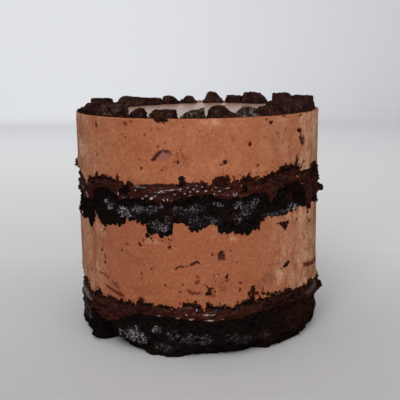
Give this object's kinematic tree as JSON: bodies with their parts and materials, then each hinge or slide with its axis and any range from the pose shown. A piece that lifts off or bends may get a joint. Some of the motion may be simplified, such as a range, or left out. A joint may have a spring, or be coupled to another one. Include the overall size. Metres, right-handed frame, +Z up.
{
  "type": "chocolate mousse cake",
  "caption": "Tall round chocolate layer cake: dark sponge and ganache under thick mousse, twice over, with broken cake chunks round its top edge.",
  "frame": {"origin": "centre of the cake's base, on the surface it stands on", "axes": "+Z up through the cake's middle, -Y towards the side that faces the viewer, +X to the viewer's right"},
  "size_m": [0.1561, 0.1559, 0.1447],
  "materials": {
    "sponge": "very dark, almost black cocoa sponge with an open crumb, matte with small frosty glints",
    "ganache": "dark red-brown ganache, moist and glossy, with soft folds",
    "mousse": "milk chocolate brown mousse, satin, with fine air holes and a few larger voids",
    "chunk": "dark broken cake, rough and crumbly, slightly moist on the cut faces"
  },
  "bodies": {
    "root": {"sponge_lower": "sponge", "ganache_lower": "ganache", "mousse_lower": "mousse", "sponge_upper": "sponge", "ganache_upper": "ganache", "mousse_upper": "mousse", "chunk_01": "chunk", "chunk_02": "chunk", "chunk_03": "chunk", "chunk_04": "chunk", "chunk_05": "chunk", "chunk_06": "chunk", "chunk_07": "chunk", "chunk_08": "chunk", "chunk_09": "chunk", "chunk_10": "chunk", "chunk_11": "chunk", "chunk_12": "chunk", "chunk_13": "chunk", "chunk_14": "chunk", "chunk_15": "chunk", "chunk_16": "chunk", "chunk_17": "chunk", "chunk_18": "chunk", "chunk_19": "chunk", "chunk_20": "chunk", "chunk_21": "chunk", "chunk_22": "chunk", "chunk_23": "chunk", "chunk_24": "chunk"}
  },
  "joints": []
}
